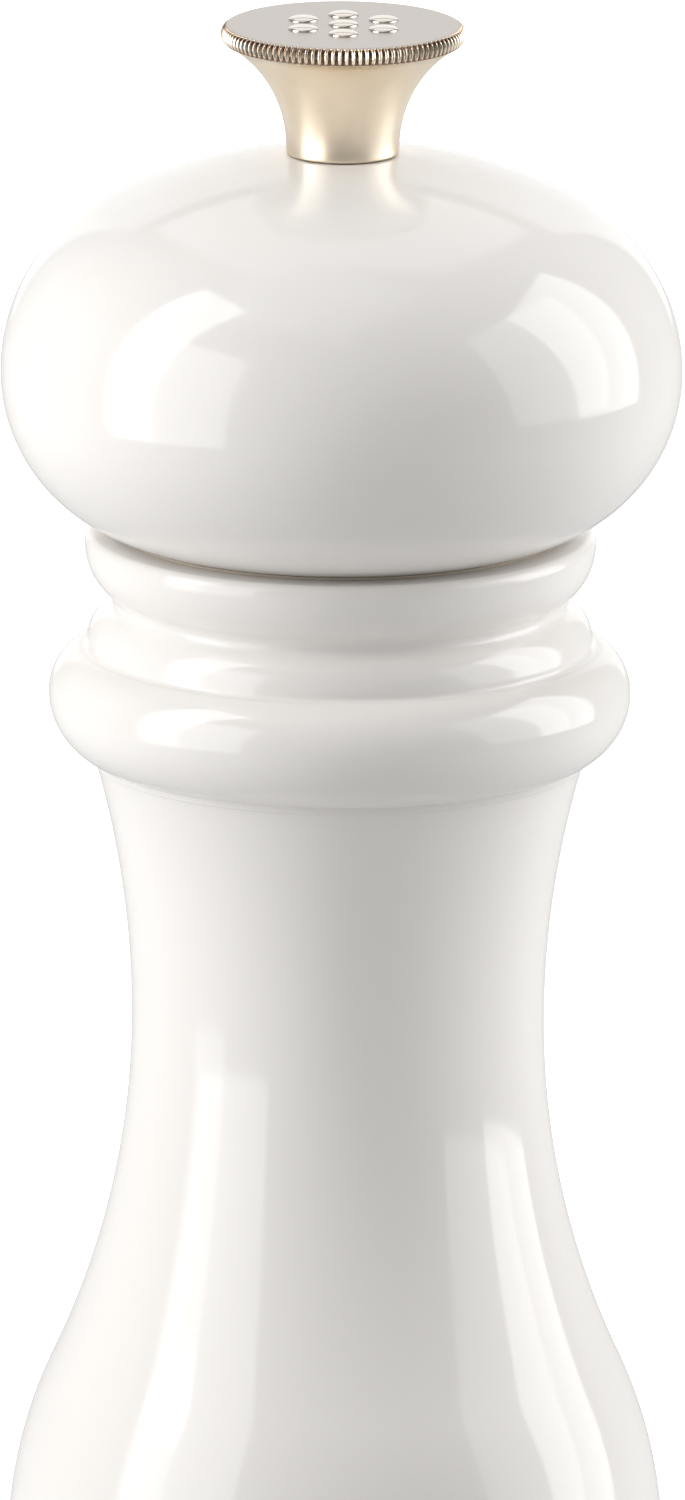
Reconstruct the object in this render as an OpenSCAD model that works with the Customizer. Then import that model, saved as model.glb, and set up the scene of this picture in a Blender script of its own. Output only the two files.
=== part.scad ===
// Pepper mill with a mushroom head, a knurled adjusting knob and a conical ceramic burr set.
// Millimetres, +Z up. The origin is the centre of the base, on the table.
// The head, the shaft and the inner burr turn together; the knob screws along the shaft and
// lifts the inner burr towards the outer one for a finer grind.

/* [Overall] */
// Height from the table to the top of the knob's bosses
overall_h = 210; // [180:1:260]
// Widest diameter of the head
head_d = 65; // [54:0.5:80]

/* [Head] */
// Height from the seam to the widest part of the head
head_belly_h = 15.4; // [12:0.1:20]
// How far the head's bottom edge stands out past the neck's bore
seam_out = 1.5; // [1:0.1:3]
// Radius of curvature of the crown
crown_r = 50; // [44:1:80]
// Radius of curvature of the shoulder between crown and belly
shoulder_r = 18; // [14:0.5:22]
// Wall of the head and of the body shell
wall = 2.6; // [2:0.1:3.2]
// Gap between the head's bottom edge and the collar
seam_gap = 0.5; // [0.3:0.1:1]
// How far the head's spigot reaches down into the neck
spigot_h = 19; // [12:0.5:24]
// Depth of the boss under the crown
crown_boss_h = 7; // [5:0.5:9]

/* [Knob] */
// Height of the knob from the head to its flat face
knob_h = 12.5; // [10:0.5:16]
// Radius over the knurled rim
knob_rim_r = 11.65; // [10:0.05:14]
// Radius of the knob's foot
knob_foot_r = 5.4; // [5.2:0.05:7]
// Height of the knurled band
knurl_h = 1.8; // [1.4:0.1:3]
// Number of ridges round the rim
knurl_count = 110; // [80:2:120]
// Height of the round bosses on the face
boss_h = 0.4; // [0.2:0.1:0.8]

/* [Collar] */
// Radius of the neck's bore, which holds the hopper's mouth
mouth_bore_r = 19.6; // [17:0.1:22]
// Height of the whole collar
collar_h = 22.05; // [21:0.1:24]
// How far the upper bead stands out past the bore
upper_bead_out = 4.8; // [4.6:0.1:6]
// How far the roll between the two beads stands out past the bore
roll_out = 4.55; // [4.3:0.05:6]
// How far the lower bead stands out past the bore
lower_bead_out = 8.2; // [7:0.1:10]
// How far the narrow land under the lower bead stands out past the bore
land_out = 4; // [3.9:0.1:5]

/* [Body] */
// How far the top of the waist stands out past the neck's bore
neck_out = 3.75; // [3.2:0.05:3.8]
// Radius of the waist
waist_r = 19.75; // [19:0.05:22]
// Distance from the collar down to the waist
waist_drop = 25.3; // [20:0.1:40]
// Radius of the hip
hip_r = 31.5; // [29:0.1:34]
// Height of the hip
hip_z = 60; // [50:1:70]
// How far the ankle stands out past the mechanism's flange
ankle_out = 1.5; // [1.2:0.1:4]
// Height of the ankle
ankle_z = 19; // [18:0.5:24]

/* [Foot] */
// How far the foot stands out past the ankle
foot_out = 4.6; // [3:0.1:7]
// Height of the foot's widest part
foot_belly_z = 7.5; // [6:0.1:8]
// Height of the foot up to the seam with the shell
foot_h = 15; // [14.5:0.1:17]
// Depth of the recess under the mill
recess_h = 6.4; // [6:0.1:8]

/* [Grinder] */
// Side of the square shaft
shaft_side = 5.5; // [4.5:0.1:6.6]
// Outside diameter of the shaft's upper thread
thread_d = 5; // [4:0.5:5.5]
// Radius of the bore that holds the outer burr
burr_bore_r = 15; // [12.5:0.1:18]
// Gap between the two burrs at rest, measured across the axis
burr_gap = 0.47; // [0.4:0.01:0.8]
// Number of fine teeth on the outer burr
fine_teeth = 24; // [18:1:30]
// Number of coarse teeth on the outer burr
coarse_teeth = 8; // [6:1:10]

/* [Fits] */
// Clearance between a turning piece and its neighbour
run = 0.3; // [0.2:0.05:0.4]
// Clearance between two fixed pieces
seat = 0.1; // [0.05:0.05:0.15]

/* [Hidden] */
$fn = 96;
eps = 0.01;
over = 1;                       // how far a cutter runs past the face it cuts

// Heights, from the top down
knob_face_z = overall_h - boss_h;
knob_seat_z = knob_face_z - knob_h;
knob_seat_r = knob_foot_r + 0.35;
seam_r = mouth_bore_r + seam_out;
crown_apex_z = knob_seat_z + crown_r - sqrt(pow(crown_r, 2) - pow(knob_seat_r, 2));
head_r = head_d / 2;
crown_centre_z = crown_apex_z - crown_r;
head_belly_z = crown_centre_z + sqrt(pow(crown_r - shoulder_r, 2) - pow(head_r - shoulder_r, 2));
crown_end_a = atan2(head_belly_z - crown_centre_z, head_r - shoulder_r);
seam_z = head_belly_z - head_belly_h;
collar_top_z = seam_z - seam_gap;
collar_z = collar_top_z - collar_h;
waist_z = collar_z - waist_drop;

// Head
under_a = 73;                   // angle over which the underside of the head turns in
lip_h = 2.5;
lip_r = seam_r - 1.2;
under_r = (head_r - seam_r) / (1 - cos(under_a));   // radii of the underside's ellipse
under_h = head_belly_h / sin(under_a);
barb_r = lip_r + 0.7;
// the barb sits just over the height where the head's inner wall has widened past it
barb_z = head_belly_z + 0.05 - (under_h - wall)
         * sqrt(1 - pow(1 - (head_r - wall - barb_r - seat) / (under_r - wall), 2));
spigot_r = mouth_bore_r - seat - 1.4 - run;
spigot_wall = 1.8;
spigot_end_z = seam_z - spigot_h;
web_t = 2.5;
plate_t = 1.2;
plate_screw_x = 11;
plate_screw_r = 1.35;
post_h = 6;
boss_ring_r = 4.4;
boss_r = 1.45;

// Body
upper_bead_r = mouth_bore_r + upper_bead_out;
roll_r = mouth_bore_r + roll_out;
lower_bead_r = mouth_bore_r + lower_bead_out;
land_r = mouth_bore_r + land_out;
neck_r = mouth_bore_r + neck_out;
hopper_wall = 1.4;
hopper_r = waist_r - wall - seat;
mouth_r = mouth_bore_r - seat;
rim_t = 1.6;
rim_r = mouth_bore_r + 1;
glide_t = 0.8;
rim_z = collar_top_z - rim_t - glide_t / 2;
land_h = 0.8;
collar_edge = 0.9;              // rounding of the collar's top edge
roll_drop = 10.3;               // from the collar's top down to the middle of the roll
lower_bead_drop = 15.4;         // and down to the middle of the lower bead
upper_bead_curve = 5.8;         // radii of the beads' curves
roll_curve = 3.7;
lower_bead_top_curve = 4.85;
lower_bead_low_curve = 6.6;
hip_share = 0.64;               // how the belly's and the shin's two arcs share their radii
ankle_share = 0.75;

// Grinder, from the bottom up
flange_t = 2.6;
ledge_z = recess_h + flange_t;
ledge_t = 6.5;
housing_r = burr_bore_r + 3.7;
flange_r = housing_r + 6.2;
housing_screw_r = (housing_r + flange_r) / 2;
ankle_r = flange_r + ankle_out;
foot_r = ankle_r + foot_out;
foot_spigot_r = ankle_r - wall - seat;
foot_spigot_h = 10;
foot_bead_curve = 7;            // radii of the foot's curves, above and below its belly
foot_under_curve = 16;
housing_screw_shank = 1.3;
clip_t = 1.2;
burr_z = recess_h + 1 + clip_t;            // underside of the outer burr
burr_h = 14;
throat_z = burr_z + 4.4;                   // where the two fine cones end
throat_slope = 1.3 / 4.4;
burr_mouth_r = burr_bore_r - 2.7;          // outer burr's inner radius at its underside
burr_throat_r = burr_mouth_r - 1.3;
bridge_z = burr_z + burr_h;
bridge_t = 2.5;
shelf_t = 2;
cup_cone_h = 4;
cup_z = bridge_z + bridge_t + shelf_t + cup_cone_h;
cup_h = 6;
cup_r = hopper_r + 1.7;
shaft_diag = shaft_side / sqrt(2);
hub_r = shaft_diag + 2.6;
rotor_z = burr_z + 0.6;
rotor_h = 11.3;
rotor_foot_r = burr_mouth_r - 0.6 * throat_slope - burr_gap;
rotor_throat_r = rotor_foot_r - (throat_z - rotor_z) * throat_slope;
rotor_bore_r = hub_r + seat;
rotor_top_r = rotor_bore_r + 1.2;
carrier_t = 1.8;
carrier_hub_h = 6.8;
washer_t = 1;
spring_top_z = bridge_z - washer_t - seat;
spring_z = rotor_z + carrier_hub_h;
spring_wire = 0.9;
spring_turns = 4;
nut_h = 2.4;
nut_af = 7;
stud_r = 2;
key_w = 2;
flutes = 5;
shaft_end_z = rotor_z - carrier_t - 0.8 - nut_h - 0.6;
square_top_z = knob_seat_z - crown_boss_h - 1.8;
thread_r = thread_d / 2;
shaft_top_z = knob_seat_z + 9;
bush_r = thread_r + 1.3;
knob_bore_r = thread_r + 1.5;
knob_bore_h = knob_h - 1.7;
knob_washer_t = 1.4;

// ---- helpers ----

// Points along a circle of radius r round c, from angle a0 to a1
function arc(c, r, a0, a1, n = 16) =
    [for (i = [0:n]) let (a = a0 + (a1 - a0) * i / n) [c[0] + r * cos(a), c[1] + r * sin(a)]];

// A short curve from p to q that bends round the corner c
function bend(p, c, q, n = 6) =
    [for (i = [1:n - 1]) let (t = i / n) (1 - t) * (1 - t) * p + 2 * t * (1 - t) * c + t * t * q];

// An S of two arcs going down from p to q, upright at both ends.
// share is the first arc's part of the two radii.
function s_curve(p, q, share, n = 18) =
    let (s = sign(q[0] - p[0]), h = p[1] - q[1], w = abs(q[0] - p[0]), a = 2 * atan(w / h),
         total = h / sin(a), r0 = total * share, r1 = total - r0)
    concat([for (i = [0:n]) let (t = a * i / n) [p[0] + s * r0 * (1 - cos(t)), p[1] - r0 * sin(t)]],
           [for (i = [1:n]) let (t = a * (1 - i / n)) [q[0] - s * r1 * (1 - cos(t)), q[1] + r1 * sin(t)]]);

// An arc between a and b that is upright at b
function upright_arc(a, b, n = 18) =
    let (dr = a[0] - b[0], dz = a[1] - b[1], r = (dz * dz + dr * dr) / (2 * dr), t = asin(dz / r))
    [for (i = [0:n]) let (u = t * (1 - i / n)) [b[0] + r * (1 - cos(u)), b[1] + r * sin(u)]];

// The same points, nearer the axis by inset
function moved_in(points, inset) = [for (p = points) [p[0] - inset, p[1]]];

// The same points in the opposite order
function flipped(points) = [for (i = [len(points) - 1:-1:0]) points[i]];

module revolve(points) {
    rotate_extrude() polygon(points);
}

module tube(r_out, r_in, h, z = 0) {
    difference() {
        translate([0, 0, z]) cylinder(r = r_out, h = h);
        drill(r_in, z, h);
    }
}

// A cutter for a round hole from z up through h, running past both ends
module drill(r, z, h) {
    translate([0, 0, z - over]) cylinder(r = r, h = h + 2 * over);
}

// Copies evenly spaced round the axis, each moved out to radius
module around(count, radius = 0, start = 0) {
    for (i = [0:count - 1])
        rotate([0, 0, start + 360 * i / count]) translate([radius, 0, 0]) children();
}

module square_hole(side, z, h) {
    translate([-side / 2, -side / 2, z - over]) cube([side, side, h + 2 * over]);
}

// A pan-head screw pointing up, its head's seat at z = 0
module pan_screw(head_r, head_h, shank_r, shank_h) {
    slot = [head_r * 1.1, 0.6, head_h * 0.55];
    difference() {
        union() {
            translate([0, 0, -head_h]) cylinder(r1 = head_r - 0.5, r2 = head_r, h = head_h * 0.5);
            translate([0, 0, -head_h / 2]) cylinder(r = head_r, h = head_h / 2);
            translate([0, 0, -eps]) cylinder(r = shank_r, h = shank_h + eps);
        }
        for (a = [0, 90])
            rotate([0, 0, a]) translate([-slot[0] / 2, -slot[1] / 2, -head_h - over]) cube(slot + [0, 0, over]);
    }
}

// ---- knob ----

knob_face_r = knob_rim_r - 0.75;
knob_flare_end = [knob_rim_r - 1.65, knob_face_z - knurl_h - 0.7];

// The turned blank: a short straight foot, a trumpet flare and a flat face
module knob_turning() {
    foot_z = knob_seat_z + seat;
    revolve(concat([[0, foot_z], [knob_foot_r - 0.15, foot_z], [knob_foot_r, foot_z + 0.15]],
        flipped(upright_arc(knob_flare_end, [knob_foot_r, foot_z + 0.5])),
        [[knob_face_r, knob_face_z - knurl_h], [knob_face_r, knob_face_z], [0, knob_face_z]]));
}

// A rounded band cut into upright ridges
module knurled_rim() {
    ridge_depth = 0.34;
    low_z = knob_face_z - knurl_h;
    shoulder = knob_rim_r - 0.15;
    intersection() {
        revolve([[knob_face_r - 1, low_z], [knob_face_r, low_z], [shoulder, low_z + knurl_h * 0.28],
                 [knob_rim_r, low_z + knurl_h * 0.5], [shoulder, low_z + knurl_h * 0.75],
                 [knob_face_r, knob_face_z], [knob_face_r - 1, knob_face_z]]);
        translate([0, 0, low_z - over])
            linear_extrude(height = knurl_h + 2 * over)
                polygon([for (i = [0:2 * knurl_count - 1])
                    let (a = 180 * i / knurl_count, r = knob_rim_r - (i % 2) * ridge_depth)
                    [r * cos(a), r * sin(a)]]);
    }
}

module knob_bosses() {
    for (i = [0:6]) {
        a = 60 * i + 30;
        r = i == 6 ? 0 : boss_ring_r;
        translate([r * cos(a), r * sin(a), knob_face_z - eps])
            cylinder(r1 = boss_r, r2 = boss_r - 0.35, h = boss_h + eps);
    }
}

module knob() {
    color("#d8cdb9")
        difference() {
            union() {
                knob_turning();
                knurled_rim();
                knob_bosses();
            }
            drill(knob_bore_r, knob_seat_z, knob_bore_h - over);
            drill(knob_bore_r + 0.45, knob_seat_z, knob_washer_t + 2 * seat - over);
        }
}

module knob_insert() {
    z = knob_seat_z + knob_washer_t + 2 * seat + 0.2;
    color("#c9a34e") tube(knob_bore_r - 0.02, thread_r + 0.05, knob_seat_z + knob_bore_h - 0.2 - z, z);
}

module knob_washer() {
    color("#f0f0ea") tube(knob_bore_r + 0.35, thread_r + 0.25, knob_washer_t, knob_seat_z + seat / 2);
}

// ---- head ----

// Half outline of the head, from the crown down to the seam, moved in by inset:
// a crown arc, a shoulder arc, and an underside that turns in as part of an ellipse
function head_outline(inset) =
    concat(arc([0, crown_centre_z], crown_r - inset, 90 - asin(knob_seat_r / crown_r), crown_end_a, 14),
           arc([head_r - shoulder_r, head_belly_z], shoulder_r - inset, crown_end_a * 0.95, 0, 16),
           [for (i = [1:20]) let (t = under_a * i / 20)
               [head_r - inset - (under_r - inset) * (1 - cos(t)), head_belly_z - (under_h - inset) * sin(t)]]);

module head_dome() {
    lip_z = seam_z + lip_h;
    inner = head_outline(wall);
    boss_z = knob_seat_z - crown_boss_h;
    color("#f4f3f1")
        difference() {
            revolve(concat([[0, knob_seat_z], [knob_seat_r, knob_seat_z]], head_outline(0),
                           [[lip_r, seam_z], [0, seam_z]]));
            difference() {
                revolve(concat([[0, crown_centre_z + crown_r - wall]], inner, [[lip_r, lip_z], [0, lip_z]]));
                translate([0, 0, boss_z]) cylinder(r = bush_r + 3.4, h = crown_boss_h);
            }
            drill(lip_r, seam_z, lip_h);
            drill(bush_r, boss_z, crown_boss_h);
            translate([0, 0, knob_seat_z - 0.6]) cylinder(r = bush_r + 0.6, h = 0.6 + over);
        }
}

module top_bush() {
    z = knob_seat_z - crown_boss_h;
    color("#c9a34e")
        difference() {
            union() {
                translate([0, 0, z]) cylinder(r = bush_r - 0.02, h = crown_boss_h - 0.6);
                translate([0, 0, knob_seat_z - 0.6]) cylinder(r = bush_r + 0.5, h = 0.55);
            }
            drill(thread_r + 0.25, z, crown_boss_h);
        }
}

module head_spigot() {
    inner_r = spigot_r - spigot_wall;
    color("#e9e8e4")
        difference() {
            union() {
                tube(spigot_r, inner_r, barb_z + 1 - spigot_end_z, spigot_end_z);
                tube(lip_r - seat, inner_r, barb_z + 1 - seam_z, seam_z);
                translate([0, 0, barb_z])
                    difference() {
                        cylinder(r1 = barb_r, r2 = lip_r - 0.2, h = 1);
                        translate([0, 0, -over]) cylinder(r = inner_r, h = 3);
                    }
                translate([0, 0, spigot_end_z]) cylinder(r = spigot_r, h = web_t);
                around(2, plate_screw_x) translate([0, 0, spigot_end_z]) cylinder(r = 3.2, h = post_h);
                around(4, 7.4, 45) translate([0, -0.7, spigot_end_z]) cube([inner_r - 7, 1.4, 5]);
            }
            drill(7, spigot_end_z, web_t);
            around(2, plate_screw_x) drill(plate_screw_r + eps, spigot_end_z, post_h - 0.4 - over);
            // three saw cuts let the barbed rim spring through the lip
            around(3, inner_r - 1, 30) translate([0, -0.6, seam_z + 0.6]) cube([10, 1.2, 8]);
        }
}

module drive_plate() {
    z = spigot_end_z - plate_t;
    color("#b9bbbe")
        difference() {
            translate([0, 0, z]) cylinder(r = spigot_r - 1.6, h = plate_t);
            square_hole(shaft_side + 0.3, z, plate_t);
            around(2, plate_screw_x) drill(plate_screw_r + run, z, plate_t);
            around(2, plate_screw_x - 1, 90) drill(2.2, z, plate_t);
        }
}

module drive_plate_screws() {
    color("#a9abad")
        around(2, plate_screw_x)
            translate([0, 0, spigot_end_z - plate_t]) pan_screw(2.6, 1.6, plate_screw_r, plate_t + post_h - 1);
}

// ---- body ----

// Half outline of the collar: upper bead, cove, roll, notch, lower bead and land
function collar_outline() =
    let (upper = [upper_bead_r - upper_bead_curve, collar_top_z - collar_edge],
         roll = [roll_r - roll_curve, collar_top_z - roll_drop],
         lower_z = collar_top_z - lower_bead_drop, land_top_z = collar_z + land_h,
         under_a = asin((lower_z - land_top_z) / lower_bead_low_curve),
         edge = arc([upper_bead_r - collar_edge, upper[1]], collar_edge, 90, 5, 6),
         bead = arc(upper, upper_bead_curve, 0, -50, 12),
         roll_arc = arc(roll, roll_curve, 60, -4, 10),
         top_arc = arc([lower_bead_r - lower_bead_top_curve, lower_z], lower_bead_top_curve, 66, 0, 12),
         low_arc = arc([lower_bead_r - lower_bead_low_curve, lower_z], lower_bead_low_curve, 0, -under_a, 14))
    concat(edge, bead, bend(bead[12], bead[12] - [1.25, 1.05], roll_arc[0]),
           roll_arc, bend(roll_arc[10], [roll_r + 0.08, top_arc[0][1] + 0.05], top_arc[0], 4),
           top_arc, low_arc, [[land_r, land_top_z], [land_r, collar_z + 0.12], [land_r - 0.12, collar_z]]);

// The inside of the neck from the collar down to the waist, moved in by inset
function neck_bore(inset) =
    moved_in(upright_arc([mouth_bore_r, collar_z], [waist_r - wall, waist_z]), inset);

module body_shell() {
    belly = s_curve([waist_r, waist_z], [hip_r, hip_z], hip_share);
    shin = s_curve([hip_r, hip_z], [ankle_r, ankle_z], ankle_share);
    color("#f4f3f1")
        difference() {
            revolve(concat([[0, collar_top_z]], collar_outline(),
                           upright_arc([neck_r, collar_z], [waist_r, waist_z]), belly, shin,
                           [[ankle_r, foot_h], [0, foot_h]]));
            revolve(concat([[0, collar_z]], neck_bore(0), moved_in(concat(belly, shin), wall),
                           [[ankle_r - wall, foot_h - over], [0, foot_h - over]]));
            translate([0, 0, collar_z - eps]) cylinder(r = mouth_bore_r, h = collar_h + over);
            translate([0, 0, rim_z]) cylinder(r = rim_r + seat / 2, h = collar_top_z - rim_z + over);
        }
}

module hopper() {
    color("#dfe3e4", 0.6)
        revolve(concat([[mouth_r - hopper_wall, rim_z + rim_t], [rim_r, rim_z + rim_t]],
                       [[rim_r, rim_z], [mouth_r, rim_z]], neck_bore(seat),
                       [[hopper_r, cup_z], [hopper_r - hopper_wall, cup_z]],
                       flipped(neck_bore(seat + hopper_wall))));
}

module glide_ring() {
    color("#ffffff") tube(rim_r - 0.1, spigot_r + run, glide_t, collar_top_z - glide_t / 2);
}

// A round bead over a curve that turns in to the table, with a spigot up into the shell
module foot_ring() {
    recess_r = flange_r + seat;
    shoulder_r = ankle_r - 0.3;
    inner_r = foot_spigot_r - 2.2;
    top_z = foot_h + foot_spigot_h;
    ledge_top_z = ledge_z + ledge_t;
    under_a = asin(foot_belly_z / foot_under_curve);
    under = flipped(arc([foot_r - foot_under_curve, foot_belly_z], foot_under_curve, 0, -0.93 * under_a, 8));
    flat_r = foot_r - foot_under_curve * (1 - cos(under_a)) - 0.35;
    bead_a = acos((shoulder_r - foot_r + foot_bead_curve) / foot_bead_curve);
    bead = arc([foot_r - foot_bead_curve, foot_belly_z], foot_bead_curve, 0, bead_a, 14);
    color("#f4f3f1")
        difference() {
            revolve(concat([[recess_r, 0], [flat_r, 0]], under, bead,
                           [[shoulder_r, foot_h], [foot_spigot_r, foot_h]],
                           [[foot_spigot_r, top_z], [inner_r, top_z]],
                           [[inner_r, ledge_top_z], [housing_r + seat, ledge_top_z]],
                           [[housing_r + seat, ledge_z], [recess_r, ledge_z]]));
            around(3, housing_screw_r, 90) drill(housing_screw_shank + eps, ledge_z, 5.5 - over);
        }
}

// ---- grinder ----

module mill_housing() {
    inner_r = hopper_r - hopper_wall;
    shelf_z = bridge_z + bridge_t;
    shelf_r = burr_bore_r - 2;
    cone_z = shelf_z + shelf_t;
    clip_z = burr_z - clip_t;
    color("#3a3b3d")
        difference() {
            union() {
                translate([0, 0, recess_h]) cylinder(r = flange_r, h = flange_t);
                translate([0, 0, recess_h]) cylinder(r = housing_r, h = cone_z - recess_h);
                translate([0, 0, cone_z - eps]) cylinder(r1 = housing_r, r2 = cup_r, h = cup_cone_h + eps);
                translate([0, 0, cup_z - eps]) cylinder(r = cup_r, h = cup_h + eps);
            }
            drill(burr_bore_r, recess_h, shelf_z - recess_h - over);
            drill(shelf_r, shelf_z, shelf_t);
            translate([0, 0, cone_z]) cylinder(r1 = shelf_r, r2 = inner_r, h = cup_cone_h + eps);
            translate([0, 0, cup_z]) cylinder(r = hopper_r + seat / 2, h = cup_h + over);
            translate([0, 0, clip_z]) cylinder(r = burr_bore_r + 0.7, h = clip_t);
            around(3, housing_screw_r, 90) drill(housing_screw_shank + run, recess_h, flange_t);
        }
}

module housing_screws() {
    color("#a9abad")
        around(3, housing_screw_r, 90)
            translate([0, 0, recess_h]) pan_screw(2.5, 1.6, housing_screw_shank, flange_t + 5);
}

module shaft_bridge() {
    color("#b9bbbe")
        difference() {
            intersection() {
                union() {
                    translate([0, 0, bridge_z]) cylinder(r = hub_r + 0.8, h = bridge_t);
                    around(3) translate([0, -2.5, bridge_z]) cube([burr_bore_r + over, 5, bridge_t]);
                    tube(burr_bore_r - seat / 2, burr_bore_r - 1.8, bridge_t, bridge_z);
                }
                translate([0, 0, bridge_z]) cylinder(r = burr_bore_r - seat / 2, h = bridge_t);
            }
            drill(shaft_diag + 0.2, bridge_z, bridge_t);
        }
}

// A square-cornered cutter of the given width, standing on its edge
module groove_bar(width, length) {
    rotate([0, 0, 45]) translate([-width / 2, -width / 2, 0]) cube([width, width, length]);
}

// Two hollow cones with a throat between: slanted fine grooves below, wide coarse ones above
module outer_burr() {
    outer_r = burr_bore_r - seat / 2;
    top_r = burr_bore_r - 1.6;
    top_z = bridge_z - seat / 2;
    wall_lean = atan((top_r - burr_throat_r) / (top_z - throat_z));
    mouth_lean = atan(throat_slope);
    color("#ece7da")
        difference() {
            revolve([[burr_mouth_r, burr_z], [outer_r, burr_z], [outer_r, top_z], [top_r, top_z],
                     [burr_throat_r, throat_z]]);
            around(fine_teeth, burr_mouth_r + 0.1, 0)
                translate([0, 0, burr_z - 0.4]) rotate([14, -mouth_lean, 0]) groove_bar(0.9, 5.4);
            around(coarse_teeth, burr_throat_r - 0.1, 0)
                translate([0, 0, throat_z - 0.4]) rotate([-16, wall_lean, 0]) groove_bar(1.8, 16);
        }
}

module burr_clip() {
    color("#b9bbbe")
        difference() {
            tube(burr_bore_r + 0.6, burr_mouth_r + 0.7, clip_t - seat, burr_z - clip_t + seat / 2);
            translate([burr_mouth_r - 2, -2, burr_z - clip_t - over]) cube([8, 4, clip_t + 2 * over]);
        }
}

// A fluted cone over a finely grooved foot, notched underneath for its carrier
module inner_burr() {
    lean = atan((rotor_throat_r - rotor_top_r) / (rotor_z + rotor_h - throat_z));
    color("#ece7da")
        difference() {
            revolve([[rotor_bore_r, rotor_z], [rotor_foot_r, rotor_z], [rotor_throat_r, throat_z],
                     [rotor_top_r, rotor_z + rotor_h], [rotor_bore_r, rotor_z + rotor_h]]);
            around(fine_teeth - 2, rotor_foot_r + 0.2, 0)
                translate([0, 0, rotor_z - 0.5]) rotate([12, -atan(throat_slope), 0]) groove_bar(0.9, 4.6);
            around(flutes, rotor_throat_r + 0.2, 0)
                translate([0, 0, throat_z - 1.2])
                    rotate([-32, -lean, 0]) translate([0, 0, -1]) cylinder(r = 1.5, h = 16);
            around(3, rotor_bore_r - 1, 0)
                translate([0, -key_w / 2 - seat, rotor_z - over]) cube([3, key_w + 2 * seat, over + 1.2]);
        }
}

module burr_carrier() {
    color("#3a3b3d")
        difference() {
            union() {
                translate([0, 0, rotor_z - carrier_t]) cylinder(r = rotor_bore_r + 2.6, h = carrier_t - eps);
                translate([0, 0, rotor_z - carrier_t]) cylinder(r = hub_r, h = carrier_t + carrier_hub_h);
                around(3, hub_r - 1) translate([0, -key_w / 2, rotor_z - 0.5]) cube([2.9, key_w, 1.6]);
            }
            square_hole(shaft_side + 2 * seat, rotor_z - carrier_t, carrier_t + carrier_hub_h);
        }
}

module carrier_washer() {
    color("#b9bbbe") tube(4.4, stud_r + seat, 0.7, rotor_z - carrier_t - 0.75);
}

module shaft_nut() {
    z = rotor_z - carrier_t - 0.8 - nut_h;
    color("#b9bbbe")
        difference() {
            translate([0, 0, z]) cylinder(d = nut_af / cos(30), h = nut_h, $fn = 6);
            drill(stud_r + 0.02, z, nut_h);
        }
}

// A round stud for the nut, a long square and a round end for the knob's thread
module shaft() {
    square_z = rotor_z - carrier_t;
    half = shaft_side / 2;
    tip_h = 0.6;
    tip_z = shaft_top_z - tip_h;
    color("#c4c6c8")
        union() {
            translate([0, 0, shaft_end_z]) cylinder(r = stud_r, h = square_z - shaft_end_z + eps);
            translate([-half, -half, square_z]) cube([shaft_side, shaft_side, square_top_z - square_z]);
            translate([0, 0, square_top_z - eps]) cylinder(r = thread_r, h = tip_z - square_top_z + eps);
            translate([0, 0, tip_z]) cylinder(r1 = thread_r, r2 = thread_r - tip_h, h = tip_h);
        }
}

module spring_washer() {
    color("#b9bbbe")
        difference() {
            translate([0, 0, spring_top_z]) cylinder(r = hub_r, h = washer_t);
            square_hole(shaft_side + 2 * seat, spring_top_z, washer_t);
        }
}

// Corner points of the spring's wire: rings of sides points along a helix
function spring_ring(i, steps, sides, mean_r, z0, rise) =
    let (a = 360 * spring_turns * i / steps, z = z0 + rise * i / steps)
    [for (k = [0:sides - 1]) let (b = 360 * k / sides, r = mean_r + spring_wire / 2 * cos(b))
        [r * cos(a), r * sin(a), z + spring_wire / 2 * sin(b)]];

module spring() {
    steps = 22 * spring_turns;
    sides = 8;
    mean_r = shaft_diag + 0.7 + spring_wire / 2;
    z0 = spring_z + spring_wire / 2 + seat / 2;
    rise = spring_top_z - spring_z - spring_wire - seat;
    points = [for (i = [0:steps]) each spring_ring(i, steps, sides, mean_r, z0, rise)];
    skin = [for (i = [0:steps - 1], k = [0:sides - 1])
        let (a = i * sides + k, b = i * sides + (k + 1) % sides)
        each [[a, b + sides, b], [a, a + sides, b + sides]]];
    last = steps * sides;
    ends = [[for (k = [0:sides - 1]) k], [for (k = [sides - 1:-1:0]) last + k]];
    color("#9fa2a5") polyhedron(points = points, faces = concat(skin, ends));
}

knob();
knob_insert();
knob_washer();
head_dome();
head_spigot();
top_bush();
drive_plate();
drive_plate_screws();
body_shell();
hopper();
glide_ring();
foot_ring();
mill_housing();
housing_screws();
shaft_bridge();
outer_burr();
burr_clip();
shaft();
inner_burr();
burr_carrier();
carrier_washer();
shaft_nut();
spring_washer();
spring();
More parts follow.
